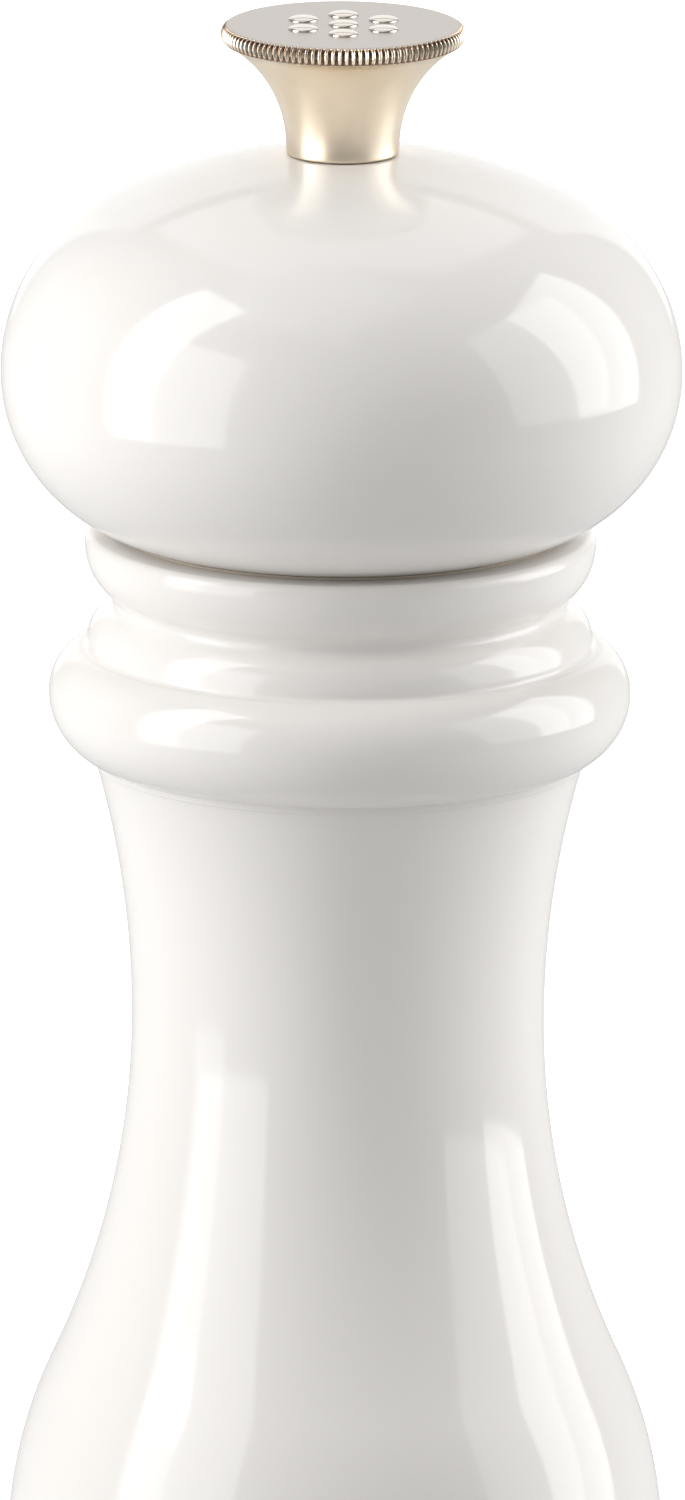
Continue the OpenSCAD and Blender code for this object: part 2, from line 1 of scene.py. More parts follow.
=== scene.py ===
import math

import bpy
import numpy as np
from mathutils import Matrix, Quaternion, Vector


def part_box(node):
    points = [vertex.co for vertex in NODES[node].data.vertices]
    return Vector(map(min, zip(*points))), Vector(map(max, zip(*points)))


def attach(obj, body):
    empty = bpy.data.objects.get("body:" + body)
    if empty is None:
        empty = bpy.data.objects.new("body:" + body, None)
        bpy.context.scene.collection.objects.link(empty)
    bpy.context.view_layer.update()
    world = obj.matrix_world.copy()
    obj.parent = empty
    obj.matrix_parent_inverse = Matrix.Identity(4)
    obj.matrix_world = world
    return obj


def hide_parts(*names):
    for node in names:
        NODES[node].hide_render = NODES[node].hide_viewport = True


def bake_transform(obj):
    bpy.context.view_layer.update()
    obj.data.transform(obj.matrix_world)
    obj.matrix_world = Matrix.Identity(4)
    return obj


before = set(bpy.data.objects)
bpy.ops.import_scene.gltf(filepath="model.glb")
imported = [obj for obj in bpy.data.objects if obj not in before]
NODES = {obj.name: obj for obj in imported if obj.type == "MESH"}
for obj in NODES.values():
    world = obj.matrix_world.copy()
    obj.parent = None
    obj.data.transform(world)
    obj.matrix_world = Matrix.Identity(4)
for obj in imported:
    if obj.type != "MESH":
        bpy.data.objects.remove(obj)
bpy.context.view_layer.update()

# %% [markdown]
# # A white pepper mill
# The mill is a turned object: nearly every piece is an outline carried once round an upright axis.
# The CAD frame, loaded above, already holds each piece at its true size. This script gives the
# pieces that show their smooth skins, and gives every piece the finish that the real one has.

MM = 0.001

# %% [markdown]
# ## Outlines
# A lathe hand thinks in beads, coves and straight runs. An outline here is an array of (radius,
# height) points, put together from circular arcs, because arcs are what the real profile was drawn
# with. Sharp corners between them get a small round, as every moulded edge has, which is what
# catches the light.


# %% Arcs and rounded corners
def arc(centre, radius, start, end, count=24):
    """Points of a circle: the centre plus radius times the cosine and sine of an even run of angles."""
    angle = np.radians(np.linspace(start, end, count))
    return np.column_stack([centre[0] + radius * np.cos(angle), centre[1] + radius * np.sin(angle)])


def upright_arc(top, low, count=40):
    """The arc from top to low that is upright at low. Its radius is the chord squared over twice the
    width."""
    width, height = top[0] - low[0], top[1] - low[1]
    radius = (width ** 2 + height ** 2) / (2 * width)
    angle = np.linspace(math.asin(height / radius), 0, count)
    return np.column_stack([low[0] + radius * (1 - np.cos(angle)), low[1] + radius * np.sin(angle)])


def s_curve(top, low, share, count=40):
    """Two arcs from top to low, upright at both ends, whose radii split their sum by share."""
    width, height = low[0] - top[0], top[1] - low[1]
    turn = 2 * math.atan(abs(width) / height)
    total, side = height / math.sin(turn), math.copysign(1, width)
    first, second = total * share, total * (1 - share)
    a, b = np.linspace(0, turn, count), np.linspace(turn, 0, count)[1:]
    upper = np.column_stack([top[0] + side * first * (1 - np.cos(a)), top[1] - first * np.sin(a)])
    lower = np.column_stack([low[0] - side * second * (1 - np.cos(b)), low[1] + second * np.sin(b)])
    return np.vstack([upper, lower])


def bend(start, corner, end, count=12):
    """A quadratic curve that leaves start towards corner and arrives at end from it."""
    t = np.linspace(0, 1, count)[1:-1, None]
    start, corner, end = np.asarray(start), np.asarray(corner), np.asarray(end)
    return (1 - t) ** 2 * start + 2 * t * (1 - t) * corner + t ** 2 * end


def rounded(points, radius, steps=5, sharp_angle=25):
    """The closed outline with each sharp corner swapped for a small quadratic bend, whose point at t is
    (1 - t)^2 start + 2 t (1 - t) corner + t^2 end. Start and end lie radius back along the two sides, or
    0.45 of a side where that is less. Other points stay."""
    points = np.asarray(points, float)
    points = points[np.linalg.norm(np.roll(points, -1, 0) - points, axis=1) > 1e-7]
    before, after = np.roll(points, 1, 0) - points, np.roll(points, -1, 0) - points
    gap_before, gap_after = np.linalg.norm(before, axis=1), np.linalg.norm(after, axis=1)
    turn = np.arccos(np.clip(-(before * after).sum(1) / (gap_before * gap_after), -1, 1))
    sharp = turn >= math.radians(sharp_angle)
    reach = np.minimum(radius, 0.45 * np.minimum(gap_before, gap_after))
    start = (points + before * (reach / gap_before)[:, None])[:, None]
    end = (points + after * (reach / gap_after)[:, None])[:, None]
    t = np.linspace(0, 1, steps)[None, :, None]
    bends = (1 - t) ** 2 * start + 2 * t * (1 - t) * points[:, None] + t ** 2 * end
    bends[~sharp, 0] = points[~sharp]
    kept = sharp[:, None] | (np.arange(steps) == 0)[None]
    return bends[kept]


square = rounded([[0, 0], [1, 0], [1, 1], [0, 1]], 0.1)
print("a square with its four corners rounded has", len(square), "points")

# %% [markdown]
# ## Turning an outline into a skin
# Blender could spin the outline with a Screw modifier. A grid worked out as one array is as short,
# and it lets a piece change its radius with the angle, which the knob's ridges need.

# %% The lathe
def build(name, points, faces, sharp=40):
    """A mesh object from points and faces, smooth except where faces meet at a sharp angle."""
    mesh = bpy.data.meshes.new(name)
    mesh.from_pydata(points.tolist(), [], faces)
    mesh.shade_smooth()
    mesh.set_sharp_from_angle(angle=math.radians(sharp))
    piece = bpy.data.objects.new(name, mesh)
    bpy.context.scene.collection.objects.link(piece)
    print(name, len(points), "points", len(faces), "faces")
    return piece


def grid_faces(rows, columns, loop=True):
    """Quads of a grid whose columns run round and close; its rows close too if the outline is a loop."""
    here = np.arange(rows if loop else rows - 1)[:, None] * columns
    below = (here + columns) % (rows * columns)
    column = np.arange(columns)[None]
    beside = (column + 1) % columns
    corners = [here + column, below + column, below + beside, here + beside]
    return np.stack(corners, -1).reshape(-1, 4).tolist()


def turn(outline, columns=240, cut=None):
    """Points and faces of a turned skin. Each outline point (r, z) goes to (r cos t, r sin t, z) for an
    even run of angles t. An outline that starts and ends on the axis is closed there by fans of
    triangles; any other is a loop. cut takes the grids of r, t and z and returns the new r."""
    outline = np.asarray(outline, float)
    capped = outline[0, 0] == 0 and outline[-1, 0] == 0
    wall = outline[1:-1] if capped else outline
    t = np.linspace(0, 2 * math.pi, columns, endpoint=False)[None]
    r, z = wall[:, :1] + 0 * t, wall[:, 1:] + 0 * t
    if cut:
        r = cut(r, t, z)
    points = np.stack([r * np.cos(t), r * np.sin(t), z], -1).reshape(-1, 3)
    faces = grid_faces(len(wall), columns, not capped)
    if capped:
        side, last = np.arange(columns), (len(wall) - 1) * columns
        beside = (side + 1) % columns
        first_pole, last_pole = len(points) + 0 * side, len(points) + 1 + 0 * side
        faces += np.column_stack([first_pole, side, beside]).tolist()
        faces += np.column_stack([last_pole, last + beside, last + side]).tolist()
        points = np.vstack([points, [[0, 0, outline[0, 1]], [0, 0, outline[-1, 1]]]])
    return points, faces


def lathe(name, outline, columns=240, cut=None):
    return build(name, *turn(outline, columns, cut))


def copies(points, faces, places):
    """The same points and faces repeated at each place, as one pair of arrays."""
    stacked = (points[None] + np.asarray(places)[:, None]).reshape(-1, 3)
    repeated = [[corner + k * len(points) for corner in face] for k in range(len(places)) for face in faces]
    return stacked, repeated


def dress(piece, material, body=None, stands_for=()):
    """Gives a piece its finish. A new piece also gets its body, and the CAD nodes it stands for are hidden.
    """
    piece.data.materials.clear()
    piece.data.materials.append(material)
    if body:
        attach(piece, body)
    if stands_for:
        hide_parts(*stands_for)


# %% [markdown]
# ## Shader maths that reads like maths
# A finish is a few sums over a surface: a ring pattern here, a little less gloss there. The class
# below wraps a shader socket, so a sum written in Python becomes the Math nodes that work it out.


# %% Values and recipes
class Value:
    """A number, colour or vector that a shader node gives. Operators on it add Math nodes."""

    def __init__(self, recipe, socket):
        self.recipe, self.socket = recipe, socket

    def math(self, operation, *values):
        return self.recipe.node("Math", {"operation": operation}, dict(enumerate(values)))

    def __add__(self, other):
        return self.math("ADD", self, other)

    def __sub__(self, other):
        return self.math("SUBTRACT", self, other)

    def __rsub__(self, other):
        return self.math("SUBTRACT", other, self)

    def __mul__(self, other):
        return self.math("MULTIPLY", self, other)

    def __pow__(self, other):
        return self.math("POWER", self, other)

    __radd__, __rmul__ = __add__, __mul__

    def between(self, low, high):
        """0 below low, 1 above high and a smooth rise in between."""
        smooth = {"interpolation_type": "SMOOTHSTEP"}
        return self.recipe.node("MapRange", smooth, {0: self, 1: low, 2: high})


class Tree:
    """A node tree being filled: one method adds any node, the other sets or links a socket."""

    def __init__(self, tree):
        self.tree = tree

    def node(self, kind, settings=None, values=None, output=0):
        """Adds a node of a kind, with its settings first, then the values or links of its sockets."""
        made = self.tree.nodes.new("ShaderNode" + kind)
        for key, setting in (settings or {}).items():
            setattr(made, key, setting)
        for key, value in (values or {}).items():
            self.plug(made.inputs[key], value)
        return Value(self, made.outputs[output])

    def plug(self, socket, value):
        """Links a value's socket, or sets a number, vector or colour; a colour gets its alpha of 1."""
        if isinstance(value, Value):
            self.tree.links.new(value.socket, socket)
        elif socket.type == "RGBA" and len(value) == 3:
            socket.default_value = (*value, 1)
        else:
            socket.default_value = value


class Recipe(Tree):
    """A material being made: one Principled shader, with place, height and radius ready for patterns."""

    def __init__(self, name):
        self.material = bpy.data.materials.new(name)
        self.material.use_nodes = True
        super().__init__(self.material.node_tree)
        self.shader = self.tree.nodes["Principled BSDF"]
        self.place = self.node("TexCoord", output="Object")
        x, y, self.height = (self.node("SeparateXYZ", {}, {0: self.place}, output=axis) for axis in "XYZ")
        self.radius = (x * x + y * y) ** 0.5
        self.turned = self.node("CombineXYZ", {}, {0: self.radius, 2: self.height})

    def noise(self, size, detail=2, vector=None, stretch=(1, 1, 1)):
        """Noise whose blobs are about size metres across, longer along the axes that stretch divides."""
        moved = self.node("Mapping", {}, {"Vector": vector or self.place, "Scale": stretch})
        return self.node("TexNoise", {}, {"Vector": moved, "Scale": 1 / size, "Detail": detail})

    def blend(self, factor, a, b):
        """Colour a where the factor is 0 and colour b where it is 1."""
        return self.node("Mix", {"data_type": "RGBA"}, {0: factor, 6: a, 7: b}, output=2)

    def bump(self, height, depth, normal=None):
        """A normal for relief that stands depth metres high where height is 1."""
        values = {"Height": height, "Distance": depth, "Strength": 1.0}
        if normal:
            values["Normal"] = normal
        return self.node("Bump", {}, values)

    def finish(self, **sockets):
        """Sets or links the shader's sockets: base_color sets Base Color, and so on."""
        for name, value in sockets.items():
            key = name.replace("_", " ").title().replace("Ior", "IOR")
            self.plug(self.shader.inputs[key], value)
        print("material", self.material.name, len(self.tree.nodes), "nodes")
        return self.material


# %% [markdown]
# ## Gloss white plastic
# The head, body and foot are warm white plastic with a hard gloss. Three things keep such a
# white from looking like paper: a gloss that mirrors the room, a trace of orange peel that only its
# reflections show, and handling marks that dull the gloss here and there.


# %% White gloss
def white_gloss():
    made = Recipe("white_gloss")
    cloud = made.noise(0.03, 3)
    smudge = made.noise(0.008, 4).between(0.5, 0.75)
    peel = made.noise(0.003, 1)
    return made.finish(
        base_color=made.blend(cloud, (0.85, 0.825, 0.795), (0.865, 0.843, 0.817)),
        roughness=0.08 + 0.05 * smudge,
        ior=1.5,
        normal=made.bump(peel, 0.0000015),
    )


WHITE = white_gloss()

# %% [markdown]
# ## The mushroom head
# A crown arc, a tighter shoulder arc, and an underside that turns in to the seam as part of an
# ellipse. The wall is 2.6 mm thick with a boss under the crown, so the outline is one closed loop:
# down the outside, round the lip and back up the inside.

# %% Head
head_low, head_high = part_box("head_dome")
HEAD_R, SEAM_Z, SEAT_Z = head_high.x, head_low.z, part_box("knob_washer")[0].z - 0.05 * MM
CROWN, SHOULDER, WALL = 50 * MM, 18 * MM, 2.6 * MM
SEAT_R, SEAM_R, LIP_R, LIP_H = 5.75 * MM, 21.1 * MM, 19.9 * MM, 2.5 * MM
BELLY_H, UNDER_TURN = 15.4 * MM, 73
crown_z = SEAT_Z - math.sqrt(CROWN ** 2 - SEAT_R ** 2)
belly_z = crown_z + math.sqrt((CROWN - SHOULDER) ** 2 - (HEAD_R - SHOULDER) ** 2)
crown_end = math.degrees(math.atan2(belly_z - crown_z, HEAD_R - SHOULDER))


def head_outline(inset):
    """Crown arc, shoulder arc and elliptical underside, all moved inwards by inset."""
    turn = np.radians(np.linspace(0, UNDER_TURN, 60))[1:]
    wide = (HEAD_R - SEAM_R) / (1 - math.cos(math.radians(UNDER_TURN))) - inset
    tall = BELLY_H / math.sin(math.radians(UNDER_TURN)) - inset
    under = [HEAD_R - inset - wide * (1 - np.cos(turn)), belly_z - tall * np.sin(turn)]
    return np.vstack([
        arc((0, crown_z), CROWN - inset, 90 - math.degrees(math.asin(SEAT_R / CROWN)), crown_end, 50),
        arc((HEAD_R - SHOULDER, belly_z), SHOULDER - inset, crown_end, 0, 60)[1:],
        np.column_stack(under),
    ])


def mushroom_head():
    bush_r, boss_r, boss_z = 3.8 * MM, 7.2 * MM, SEAT_Z - 7 * MM
    inner = head_outline(WALL)
    inner = inner[(inner[:, 0] > boss_r) & (inner[:, 1] > SEAM_Z + LIP_H)][::-1]
    return lathe("mushroom_head", rounded(np.vstack([
        [[bush_r + 0.6 * MM, SEAT_Z]], head_outline(0),
        [[LIP_R, SEAM_Z], [LIP_R, SEAM_Z + LIP_H]], inner,
        [[boss_r, inner[-1, 1]], [boss_r, boss_z], [bush_r, boss_z], [bush_r, SEAT_Z - 0.6 * MM]],
        [[bush_r + 0.6 * MM, SEAT_Z - 0.6 * MM]],
    ]), 0.12 * MM), 256)


HEAD = mushroom_head()
dress(HEAD, WHITE, "head", ["head_dome"])

# %% [markdown]
# ## Collar and body
# The collar has an upper bead, a cove, a slim roll, a sharp notch, a full lower bead and a narrow
# land. Below it the body draws in to a waist and swells to the hip in one S, then draws in again.

# %% Body
body_low, body_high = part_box("body_shell")
COLLAR_TOP, FOOT_TOP, HIP_R = body_high.z, body_low.z, body_high.x
BORE_R = 19.6 * MM
COLLAR_H, WAIST_DROP, WAIST_R, HIP_Z = 22.05 * MM, 25.3 * MM, 19.75 * MM, 60 * MM
EDGE_TOP = SEAM_Z - 0.25 * MM  # the top of the collar's edge, a fine line below the head
UPPER_BEAD_R, ROLL_R, LOWER_BEAD_R = BORE_R + 4.8 * MM, BORE_R + 4.55 * MM, BORE_R + 8.2 * MM
LAND_R, NECK_R, ANKLE_R = BORE_R + 4 * MM, BORE_R + 3.75 * MM, 26.4 * MM
collar_z = COLLAR_TOP - COLLAR_H
waist_z = collar_z - WAIST_DROP


def collar_outline():
    """Three circular beads joined by soft bends, over a narrow upright land."""
    edge, upper, roll, top, low = 0.9 * MM, 5.8 * MM, 3.7 * MM, 4.85 * MM, 6.6 * MM
    lower_z, land_z = COLLAR_TOP - 15.4 * MM, collar_z + 0.8 * MM
    bead = arc((UPPER_BEAD_R - upper, COLLAR_TOP - edge), upper, 0, -50, 26)
    slim = arc((ROLL_R - roll, COLLAR_TOP - 10.3 * MM), roll, 60, -4, 22)
    over = arc((LOWER_BEAD_R - top, lower_z), top, 66, 0, 24)
    turn = math.degrees(math.asin((lower_z - land_z) / low))
    return np.vstack([
        arc((UPPER_BEAD_R - edge, EDGE_TOP - edge), edge, 90, 5, 14), bead,
        bend(bead[-1], bead[-1] - [1.25 * MM, 1.05 * MM], slim[0], 14), slim,
        bend(slim[-1], [ROLL_R + 0.08 * MM, over[0, 1] + 0.05 * MM], over[0], 8), over,
        arc((LOWER_BEAD_R - low, lower_z), low, 0, -turn, 28)[1:], [[LAND_R, land_z], [LAND_R, collar_z]],
    ])


def turned_body():
    belly = s_curve((WAIST_R, waist_z), (HIP_R, HIP_Z), 0.64, 36)[1:]
    shin = s_curve((HIP_R, HIP_Z), (ANKLE_R, 19 * MM), 0.75, 20)[1:]
    neck = upright_arc((NECK_R, collar_z), (WAIST_R, waist_z), 32)
    outside = np.vstack([collar_outline(), neck, belly, shin])
    bore = upright_arc((BORE_R, collar_z), (WAIST_R - WALL, waist_z), 24)
    inside = np.vstack([bore, (belly - [WALL, 0])[::3], (shin - [WALL, 0])[::3]])[::-1]
    rim_r, rim_z = 20.65 * MM, COLLAR_TOP - 2 * MM
    return lathe("turned_body", rounded(np.vstack([
        outside, [[ANKLE_R, FOOT_TOP], [ANKLE_R - WALL, FOOT_TOP]], inside,
        [[BORE_R, rim_z], [rim_r, rim_z], [rim_r, EDGE_TOP]],
    ]), 0.12 * MM), 256)


BODY = turned_body()
dress(BODY, WHITE, "base", ["body_shell"])


# %% [markdown]
# ## The glide ring
# The head turns on a flat ring of slippery plastic that lies in the collar's rebate. A thin flange
# spreads over the collar's edge, so all that shows of the ring is a fine ivory line at the seam.


# %% Glide ring
def glide_washer():
    """A stepped section carried round: the ring in the rebate, and its flange over the collar's edge."""
    low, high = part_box("glide_ring")
    inner = min(corner.co.xy.length for corner in NODES["glide_ring"].data.vertices)
    flange_r, top, flange_low = SEAM_R + 0.08 * MM, SEAM_Z - 0.02 * MM, EDGE_TOP + 0.01 * MM
    return lathe("glide_washer", rounded([
        [high.x, low.z], [high.x, flange_low], [flange_r, flange_low],
        [flange_r, top], [inner, top], [inner, low.z],
    ], 0.03 * MM), 192)


GLIDE_WASHER = glide_washer()

# %% [markdown]
# ## The foot
# A rounded bead over a gentler curve that turns in to the table. Its outline runs on under the mill,
# round the recess that holds the mechanism, and up the spigot that plugs into the body.


# %% Foot
def turned_foot():
    foot_r, belly_z, bead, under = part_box("foot_ring")[1].x, 7.5 * MM, 7 * MM, 16 * MM
    recess_r, spigot_r, housing_r = 25.0 * MM, ANKLE_R - WALL - 0.1 * MM, 18.8 * MM
    shoulder_r, spigot_top, ledge_z, ledge_top = ANKLE_R - 0.3 * MM, 25 * MM, 9 * MM, 15.5 * MM
    turn = math.degrees(math.acos((shoulder_r - foot_r + bead) / bead))
    drop = math.degrees(math.asin(belly_z / under))
    return lathe("turned_foot", rounded(np.vstack([
        arc((foot_r - bead, belly_z), bead, turn, 0, 50),
        arc((foot_r - under, belly_z), under, 0, -drop, 24)[1:-1],
        [[foot_r - under * (1 - math.cos(math.radians(drop))) - 0.35 * MM, 0], [recess_r, 0]],
        [[recess_r, ledge_z], [housing_r, ledge_z], [housing_r, ledge_top]],
        [[spigot_r - 2.2 * MM, ledge_top], [spigot_r - 2.2 * MM, spigot_top], [spigot_r, spigot_top]],
        [[spigot_r, FOOT_TOP], [shoulder_r, FOOT_TOP]],
    ]), 0.3 * MM), 256)


FOOT = turned_foot()
dress(FOOT, WHITE, "base", ["foot_ring"])

# %% [markdown]
# ## Metals
# Turned metal keeps the marks of the tool: rings round the axis too fine to see one by one, which
# spread a highlight along the axis. The pattern here is noise read at (radius, height) only, so it
# is the same all the way round. Polish hides the marks, and the grooves between the knob's ridges get
# painted shade.


# %% Turned, stamped and drawn metal
def turned_metal(name, light, dark, roughness, ring_depth=0.0000006, ring=0.00006):
    made = Recipe(name)
    rings = made.noise(ring, 2, made.turned)
    cloud = made.noise(0.004, 3)
    smudge = made.noise(0.0025, 4).between(0.52, 0.8)
    return made.finish(
        base_color=made.blend(cloud, dark, light),
        metallic=1.0,
        roughness=roughness + 0.06 * rings + 0.08 * smudge,
        normal=made.bump(rings, ring_depth),
    )


def drawn_metal(name, light, dark, roughness, stretch):
    """Fine straight lines, long along the axes where stretch is small."""
    made = Recipe(name)
    lines = made.noise(0.0001, 3, stretch=stretch)
    cloud = made.noise(0.006, 3)
    return made.finish(
        base_color=made.blend(cloud, dark, light),
        metallic=1.0,
        roughness=roughness + 0.1 * lines,
        normal=made.bump(lines, 0.0000008),
    )


def knob_nickel(rim_r, ridge_depth, band_low, face_z):
    """Satin nickel: a warm neck, a face painted a darker grey as painted shade, and dark brown painted
    shade in the gaps between the ridges of the rim's band.
    """
    made = Recipe("satin_nickel")
    rings = made.noise(0.00005, 2, made.turned)
    cloud = made.noise(0.005, 3)
    over_band = made.height.between(face_z - 0.25 * MM, face_z)
    in_band = made.height.between(band_low, band_low + 0.2 * MM) * (1 - over_band)
    # painted shade: the gaps between the knurl's ridges are coloured dark brown where shade falls between
    # them
    ridge_gap_painted_shade = in_band * (1 - made.radius.between(rim_r - ridge_depth, rim_r - 0.35 * ridge_depth))
    # painted shade: the top face of the knob is marked out to take a darker tone than the neck
    painted_face_shade_mask = made.height.between(face_z - 0.1 * MM, face_z)
    neck = made.blend(cloud, (0.86, 0.76, 0.62), (0.93, 0.83, 0.68))
    # painted shade: a darker, greyer copy of the same nickel for the face, a tone for how light falls on
    # the top
    face = made.blend(cloud, (0.53, 0.49, 0.45), (0.58, 0.54, 0.495))
    metal = made.blend(painted_face_shade_mask, neck, face)
    return made.finish(
        # the base colour carries the painted shade of the face and of the ridge gaps
        base_color=made.blend(ridge_gap_painted_shade, metal, (0.26, 0.17, 0.12)),
        metallic=1.0,
        roughness=0.27 + 0.06 * rings + 0.05 * cloud - 0.1 * in_band,
        normal=made.bump(rings, 0.0000006),
    )


BRASS = turned_metal("machined_brass", (0.86, 0.68, 0.36), (0.74, 0.55, 0.27), 0.22)
POLISHED = turned_metal("polished_nickel", (0.86, 0.80, 0.73), (0.80, 0.74, 0.67), 0.05, 0.0000001)
STEEL = drawn_metal("stamped_steel", (0.64, 0.65, 0.67), (0.55, 0.56, 0.58), 0.24, (0.05, 1, 1))
ALUMINIUM = drawn_metal("drawn_aluminium", (0.84, 0.85, 0.86), (0.74, 0.75, 0.77), 0.2, (1, 1, 0.02))
WIRE = turned_metal("spring_wire", (0.60, 0.61, 0.64), (0.48, 0.49, 0.52), 0.16)

# %% [markdown]
# ## The knob
# One outline again, but its radius drops between the ridges: inside the band the lathe's radius is
# cut by a depth that rises and falls 110 times round. Each ridge has a flat-topped, rounded profile,
# the power of a cosine, because a knurling wheel presses rounded ridges, not saw teeth.

# %% Knob
knob_low, knob_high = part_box("knob")
BOSS_H, BOSS_R, BOSS_RING_R = 0.4 * MM, 1.45 * MM, 4.4 * MM
RIDGES, RIDGE_DEPTH, BAND_H = 110, 0.34 * MM, 1.8 * MM
RIM_R, FACE_Z, FOOT_Z = knob_high.x, knob_high.z - BOSS_H, knob_low.z
BAND_LOW, FACE_R, NECK_FOOT_R = FACE_Z - BAND_H, RIM_R - 0.75 * MM, 5.4 * MM


def knob_outline():
    """Face, swelling rim, trumpet flare, short straight foot, then the bore for the insert and washer."""
    swell = arc((0, 0), 1, 88, -88, 26)
    rim = np.column_stack([FACE_R + 0.75 * MM * swell[:, 0], BAND_LOW + BAND_H / 2 * (1 + swell[:, 1])])
    flare = upright_arc((RIM_R - 1.65 * MM, BAND_LOW - 0.7 * MM), (NECK_FOOT_R, FOOT_Z + 0.5 * MM), 36)
    seat_r, seat_top, bore_r, bore_top = 4.45 * MM, FOOT_Z + 1.5 * MM, 4.0 * MM, FOOT_Z + 10.7 * MM
    return np.vstack([
        [[0, FACE_Z], [4 * MM, FACE_Z], [8 * MM, FACE_Z], [FACE_R - 0.15 * MM, FACE_Z]], rim, flare,
        arc((NECK_FOOT_R - 0.2 * MM, FOOT_Z + 0.2 * MM), 0.2 * MM, 0, -90, 6),
        [[seat_r, FOOT_Z], [seat_r, seat_top], [bore_r, seat_top], [bore_r, bore_top], [0, bore_top]],
    ])


def ridge_cut(r, t, z):
    """The radius less the ridge depth times (1 - wave^0.6), fading out at the band's two edges."""
    wave = 0.5 + 0.5 * np.cos(RIDGES * t)
    edge = np.clip(np.minimum(z - BAND_LOW, FACE_Z - z) / (0.2 * MM), 0, 1)
    in_band = (r > FACE_R - 0.2 * MM) * edge
    return r - RIDGE_DEPTH * in_band * (1 - wave ** 0.6)


def knob_bosses():
    """Seven low domes, one in the middle and six round it: height is the root of 1 less radius squared."""
    dome = arc((0, 0), 1, 90, 0, 12) * [BOSS_R, BOSS_H] + [0, FACE_Z]
    dome[0, 0] = 0
    points, faces = turn(np.vstack([dome, [[BOSS_R, FACE_Z - 0.1 * MM], [0, FACE_Z - 0.1 * MM]]]), 40)
    angle = np.radians(30 + 60 * np.arange(6))
    ring = BOSS_RING_R * np.column_stack([np.cos(angle), np.sin(angle), 0 * angle])
    return build("knob_bosses", *copies(points, faces, np.vstack([[[0, 0, 0]], ring])))


NICKEL = knob_nickel(RIM_R, RIDGE_DEPTH, BAND_LOW, FACE_Z)
KNOB, BOSSES = lathe("adjusting_knob", knob_outline(), RIDGES * 7, ridge_cut), knob_bosses()
dress(KNOB, NICKEL, "knob", ["knob"])
dress(BOSSES, POLISHED, "knob", ["knob"])

# %% [markdown]
# ## Finishes of the inner pieces
# What is inside shows when the head comes off or the mill is turned over: moulded nylon, a clear
# hopper, black plastic with a fine spark-eroded grain, and unglazed ceramic burrs dusted with pepper.


# %% Plastics and ceramic
def moulded(name, light, dark, roughness, grain=0.00035, depth=0.000004):
    made = Recipe(name)
    relief, cloud = made.noise(grain, 2), made.noise(0.006, 3)
    return made.finish(
        base_color=made.blend(cloud, dark, light),
        roughness=roughness + 0.08 * cloud,
        normal=made.bump(relief, depth),
    )


def clear_plastic():
    made = Recipe("clear_plastic")
    haze = made.noise(0.01, 3).between(0.4, 0.8)
    return made.finish(
        base_color=made.blend(haze, (0.93, 0.95, 0.95), (0.85, 0.87, 0.87)),
        roughness=0.06 + 0.12 * haze,
        transmission_weight=0.9,
        ior=1.49,
    )


def ceramic():
    made = Recipe("burr_ceramic")
    speck = made.noise(0.00018, 2).between(0.62, 0.7)
    dust = made.noise(0.0015, 4).between(0.45, 0.75)
    body = made.blend(dust, (0.80, 0.77, 0.69), (0.62, 0.54, 0.42))
    return made.finish(
        base_color=made.blend(speck * 0.6, body, (0.25, 0.19, 0.13)),
        roughness=0.48 + 0.2 * dust,
        normal=made.bump(made.noise(0.0002, 2), 0.000006),
    )


NYLON = moulded("white_nylon", (0.80, 0.80, 0.77), (0.74, 0.74, 0.71), 0.38)
GLIDE = moulded("ivory_glide", (0.74, 0.66, 0.56), (0.66, 0.58, 0.49), 0.35)
BLACK = moulded("black_plastic", (0.030, 0.030, 0.032), (0.022, 0.022, 0.024), 0.5, depth=0.00001)
CLEAR, CERAMIC = clear_plastic(), ceramic()

dress(GLIDE_WASHER, GLIDE, "base", ["glide_ring"])

# %% [markdown]
# ## The shaft and its spring
# A square bar drives the head and the inner burr, a thread at its top takes the knob, and a round
# stud at its foot takes the nut. One lathe call makes all three, because the radius may change with
# the angle: the square is the nearest of four flats, and the thread is a wave that climbs with it.


# %% Shaft
PITCH, THREAD_DEPTH, TIP_H = 0.8 * MM, 0.42 * MM, 0.6 * MM
shaft_low, shaft_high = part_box("shaft")
HALF_SQUARE, STUD_R, THREAD_R = shaft_high.x, 2.0 * MM, 2.5 * MM
SQUARE_LOW, SQUARE_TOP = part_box("burr_carrier")[0].z, SEAT_Z - 8.8 * MM


def shaft_section(r, t, z):
    """In the square, half the side over the larger of |cos| and |sin|, held in at the corners; in the
    thread, the radius less the thread's depth times a triangle wave of height over pitch less turns."""
    flat = HALF_SQUARE / np.maximum(np.abs(np.cos(t)), np.abs(np.sin(t)))
    square = np.minimum(flat, HALF_SQUARE * 2 ** 0.5 - 0.18 * MM)
    climb = (z / PITCH - t / (2 * math.pi)) % 1
    tooth = np.clip(np.abs(2 * climb - 1) * 1.25 - 0.12, 0, 1)
    fade = np.clip((z - SQUARE_TOP) / PITCH, 0, 1)
    thread = r - THREAD_DEPTH * tooth * fade * (r > THREAD_R - 0.01 * MM)
    in_square = (z >= SQUARE_LOW) & (z <= SQUARE_TOP)
    return np.where(in_square, np.minimum(square, r), np.where(z > SQUARE_TOP, thread, r))


